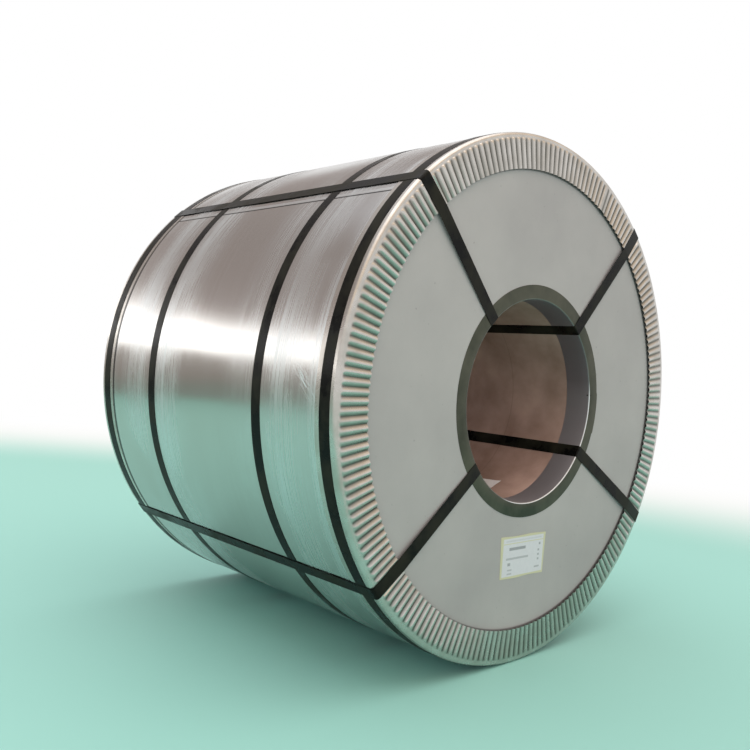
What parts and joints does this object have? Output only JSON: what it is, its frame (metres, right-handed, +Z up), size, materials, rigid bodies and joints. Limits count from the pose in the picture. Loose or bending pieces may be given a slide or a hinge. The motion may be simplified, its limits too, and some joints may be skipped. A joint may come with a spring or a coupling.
{
  "type": "steel coil",
  "caption": "Steel coil packed for transport, lying with its eye horizontal: sheet wrap, end discs, fluted edge rings, black hoop bands and straps through the eye.",
  "frame": {"origin": "on the axis of the eye, half-way along the coil", "axes": "+X along the coil's axis towards its front end, +Z up, the axis of the eye lying level"},
  "size_m": [1.0232, 1.2942, 1.2944],
  "materials": {
    "strip": "satin",
    "wrap": "satin",
    "outer_ring": "satin",
    "inner_ring": "satin",
    "disc": "matte",
    "liner": "matte",
    "strap": "satin"
  },
  "bodies": {
    "root": {"wound_coil": "strip", "outer_wrap": "wrap", "bore_liner": "liner", "side_disc_front": "disc", "side_disc_back": "disc", "outer_ring_front": "outer_ring", "outer_ring_back": "outer_ring", "inner_ring_front": "inner_ring", "inner_ring_back": "inner_ring", "hoop_band_1": "strap", "hoop_band_2": "strap", "hoop_band_3": "strap", "hoop_band_4": "strap", "eye_strap_1": "strap", "eye_strap_2": "strap", "eye_strap_3": "strap", "eye_strap_4": "strap"}
  },
  "joints": []
}
